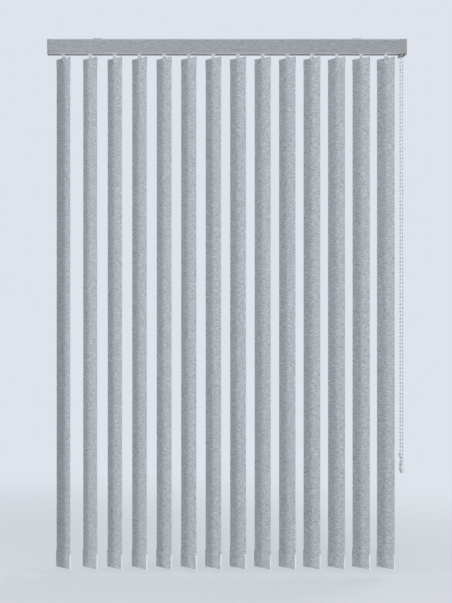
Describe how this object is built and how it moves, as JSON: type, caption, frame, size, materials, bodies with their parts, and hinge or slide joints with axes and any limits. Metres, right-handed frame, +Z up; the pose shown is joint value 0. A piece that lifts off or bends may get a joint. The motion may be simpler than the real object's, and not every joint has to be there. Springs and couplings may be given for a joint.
{
  "type": "vertical blind",
  "caption": "Vertical blind with a slotted headrail, hanging fabric louvres on geared sliding carriers, a tilt rod, and a bead-chain control loop with a tidy.",
  "frame": {"origin": "midway between the two ceiling screw holes, on the ceiling plane at the top of the brackets", "axes": "+X along the headrail towards the chain, +Y from the room towards the window, +Z up"},
  "size_m": [1.1104, 0.0814, 1.633],
  "materials": {
    "rail": "satin anodised",
    "fabric": "matt woven",
    "end_plastic": "matt",
    "steel": "bright zinc",
    "rod": "mill",
    "chain": "satin",
    "tidy": "clear, slightly frosted",
    "carrier": "matt",
    "hook": "translucent satin"
  },
  "bodies": {
    "rail": {"headrail": "rail", "fabric_insert": "fabric", "end_cap_left": "end_plastic", "control_housing": "end_plastic", "end_screws": "steel", "bracket_left": "steel", "bracket_right": "steel", "chain_top": "chain", "chain_front": "chain", "chain_rear": "chain", "chain_foot": "chain", "chain_tidy": "tidy", "carrier_14": "carrier"},
    "rod": {"tilt_rod": "rod", "chain_sprocket": "end_plastic"},
    "carrier_01": {"carrier_01": "carrier"},
    "carrier_02": {"carrier_02": "carrier"},
    "carrier_03": {"carrier_03": "carrier"},
    "carrier_04": {"carrier_04": "carrier"},
    "carrier_05": {"carrier_05": "carrier"},
    "carrier_06": {"carrier_06": "carrier"},
    "carrier_07": {"carrier_07": "carrier"},
    "carrier_08": {"carrier_08": "carrier"},
    "carrier_09": {"carrier_09": "carrier"},
    "carrier_10": {"carrier_10": "carrier"},
    "carrier_11": {"carrier_11": "carrier"},
    "carrier_12": {"carrier_12": "carrier"},
    "carrier_13": {"carrier_13": "carrier"},
    "vane_01": {"hook_stem_01": "hook", "louvre_01": "fabric"},
    "vane_02": {"hook_stem_02": "hook", "louvre_02": "fabric"},
    "vane_03": {"hook_stem_03": "hook", "louvre_03": "fabric"},
    "vane_04": {"hook_stem_04": "hook", "louvre_04": "fabric"},
    "vane_05": {"hook_stem_05": "hook", "louvre_05": "fabric"},
    "vane_06": {"hook_stem_06": "hook", "louvre_06": "fabric"},
    "vane_07": {"hook_stem_07": "hook", "louvre_07": "fabric"},
    "vane_08": {"hook_stem_08": "hook", "louvre_08": "fabric"},
    "vane_09": {"hook_stem_09": "hook", "louvre_09": "fabric"},
    "vane_10": {"hook_stem_10": "hook", "louvre_10": "fabric"},
    "vane_11": {"hook_stem_11": "hook", "louvre_11": "fabric"},
    "vane_12": {"hook_stem_12": "hook", "louvre_12": "fabric"},
    "vane_13": {"hook_stem_13": "hook", "louvre_13": "fabric"},
    "vane_14": {"hook_stem_14": "hook", "louvre_14": "fabric"}
  },
  "joints": [
    {"name": "rod_turn", "type": "hinge", "parent": "rail", "child": "rod", "pos_m": [0, 0.009, -0.028], "axis": [1, 0, 0], "range_deg": [-1105, 455], "deforming": ["chain_top"]},
    {"name": "traverse_01", "type": "slide", "parent": "rail", "child": "carrier_01", "axis": [1, 0, 0], "range_m": [0, 0.7086]},
    {"name": "traverse_02", "type": "slide", "parent": "rail", "child": "carrier_02", "axis": [1, 0, 0], "range_m": [0, 0.64801]},
    {"name": "traverse_03", "type": "slide", "parent": "rail", "child": "carrier_03", "axis": [1, 0, 0], "range_m": [0, 0.59401]},
    {"name": "traverse_04", "type": "slide", "parent": "rail", "child": "carrier_04", "axis": [1, 0, 0], "range_m": [0, 0.54001]},
    {"name": "traverse_05", "type": "slide", "parent": "rail", "child": "carrier_05", "axis": [1, 0, 0], "range_m": [0, 0.48601]},
    {"name": "traverse_06", "type": "slide", "parent": "rail", "child": "carrier_06", "axis": [1, 0, 0], "range_m": [0, 0.43201]},
    {"name": "traverse_07", "type": "slide", "parent": "rail", "child": "carrier_07", "axis": [1, 0, 0], "range_m": [0, 0.37801]},
    {"name": "traverse_08", "type": "slide", "parent": "rail", "child": "carrier_08", "axis": [1, 0, 0], "range_m": [0, 0.32401]},
    {"name": "traverse_09", "type": "slide", "parent": "rail", "child": "carrier_09", "axis": [1, 0, 0], "range_m": [0, 0.27001]},
    {"name": "traverse_10", "type": "slide", "parent": "rail", "child": "carrier_10", "axis": [1, 0, 0], "range_m": [0, 0.21601]},
    {"name": "traverse_11", "type": "slide", "parent": "rail", "child": "carrier_11", "axis": [1, 0, 0], "range_m": [0, 0.16201]},
    {"name": "traverse_12", "type": "slide", "parent": "rail", "child": "carrier_12", "axis": [1, 0, 0], "range_m": [0, 0.10801]},
    {"name": "traverse_13", "type": "slide", "parent": "rail", "child": "carrier_13", "axis": [1, 0, 0], "range_m": [0, 0.05401]},
    {"name": "tilt_01", "type": "hinge", "parent": "carrier_01", "child": "vane_01", "pos_m": [-0.5046, 0, -0.054], "axis": [0, 0, 1], "range_deg": [-110.51, 45.51]},
    {"name": "tilt_02", "type": "hinge", "parent": "carrier_02", "child": "vane_02", "pos_m": [-0.422, 0, -0.054], "axis": [0, 0, 1], "range_deg": [-110.51, 45.51]},
    {"name": "tilt_03", "type": "hinge", "parent": "carrier_03", "child": "vane_03", "pos_m": [-0.346, 0, -0.054], "axis": [0, 0, 1], "range_deg": [-110.51, 45.51]},
    {"name": "tilt_04", "type": "hinge", "parent": "carrier_04", "child": "vane_04", "pos_m": [-0.27, 0, -0.054], "axis": [0, 0, 1], "range_deg": [-110.51, 45.51]},
    {"name": "tilt_05", "type": "hinge", "parent": "carrier_05", "child": "vane_05", "pos_m": [-0.194, 0, -0.054], "axis": [0, 0, 1], "range_deg": [-110.51, 45.51]},
    {"name": "tilt_06", "type": "hinge", "parent": "carrier_06", "child": "vane_06", "pos_m": [-0.118, 0, -0.054], "axis": [0, 0, 1], "range_deg": [-110.51, 45.51]},
    {"name": "tilt_07", "type": "hinge", "parent": "carrier_07", "child": "vane_07", "pos_m": [-0.042, 0, -0.054], "axis": [0, 0, 1], "range_deg": [-110.51, 45.51]},
    {"name": "tilt_08", "type": "hinge", "parent": "carrier_08", "child": "vane_08", "pos_m": [0.034, 0, -0.054], "axis": [0, 0, 1], "range_deg": [-110.51, 45.51]},
    {"name": "tilt_09", "type": "hinge", "parent": "carrier_09", "child": "vane_09", "pos_m": [0.11, 0, -0.054], "axis": [0, 0, 1], "range_deg": [-110.51, 45.51]},
    {"name": "tilt_10", "type": "hinge", "parent": "carrier_10", "child": "vane_10", "pos_m": [0.186, 0, -0.054], "axis": [0, 0, 1], "range_deg": [-110.51, 45.51]},
    {"name": "tilt_11", "type": "hinge", "parent": "carrier_11", "child": "vane_11", "pos_m": [0.262, 0, -0.054], "axis": [0, 0, 1], "range_deg": [-110.51, 45.51]},
    {"name": "tilt_12", "type": "hinge", "parent": "carrier_12", "child": "vane_12", "pos_m": [0.338, 0, -0.054], "axis": [0, 0, 1], "range_deg": [-110.51, 45.51]},
    {"name": "tilt_13", "type": "hinge", "parent": "carrier_13", "child": "vane_13", "pos_m": [0.414, 0, -0.054], "axis": [0, 0, 1], "range_deg": [-110.51, 45.51]},
    {"name": "tilt_14", "type": "hinge", "parent": "rail", "child": "vane_14", "pos_m": [0.49, 0, -0.054], "axis": [0, 0, 1], "range_deg": [-110.51, 45.51]}
  ],
  "couplings": [
    {"joint": "traverse_02", "follows": "traverse_01", "ratio": 0.91448},
    {"joint": "traverse_03", "follows": "traverse_01", "ratio": 0.83827},
    {"joint": "traverse_04", "follows": "traverse_01", "ratio": 0.76207},
    {"joint": "traverse_05", "follows": "traverse_01", "ratio": 0.68586},
    {"joint": "traverse_06", "follows": "traverse_01", "ratio": 0.60965},
    {"joint": "traverse_07", "follows": "traverse_01", "ratio": 0.53345},
    {"joint": "traverse_08", "follows": "traverse_01", "ratio": 0.45724},
    {"joint": "traverse_09", "follows": "traverse_01", "ratio": 0.38103},
    {"joint": "traverse_10", "follows": "traverse_01", "ratio": 0.30483},
    {"joint": "traverse_11", "follows": "traverse_01", "ratio": 0.22862},
    {"joint": "traverse_12", "follows": "traverse_01", "ratio": 0.15241},
    {"joint": "traverse_13", "follows": "traverse_01", "ratio": 0.076207},
    {"joint": "tilt_01", "follows": "rod_turn", "ratio": 0.1},
    {"joint": "tilt_02", "follows": "rod_turn", "ratio": 0.1},
    {"joint": "tilt_03", "follows": "rod_turn", "ratio": 0.1},
    {"joint": "tilt_04", "follows": "rod_turn", "ratio": 0.1},
    {"joint": "tilt_05", "follows": "rod_turn", "ratio": 0.1},
    {"joint": "tilt_06", "follows": "rod_turn", "ratio": 0.1},
    {"joint": "tilt_07", "follows": "rod_turn", "ratio": 0.1},
    {"joint": "tilt_08", "follows": "rod_turn", "ratio": 0.1},
    {"joint": "tilt_09", "follows": "rod_turn", "ratio": 0.1},
    {"joint": "tilt_10", "follows": "rod_turn", "ratio": 0.1},
    {"joint": "tilt_11", "follows": "rod_turn", "ratio": 0.1},
    {"joint": "tilt_12", "follows": "rod_turn", "ratio": 0.1},
    {"joint": "tilt_13", "follows": "rod_turn", "ratio": 0.1},
    {"joint": "tilt_14", "follows": "rod_turn", "ratio": 0.1}
  ]
}
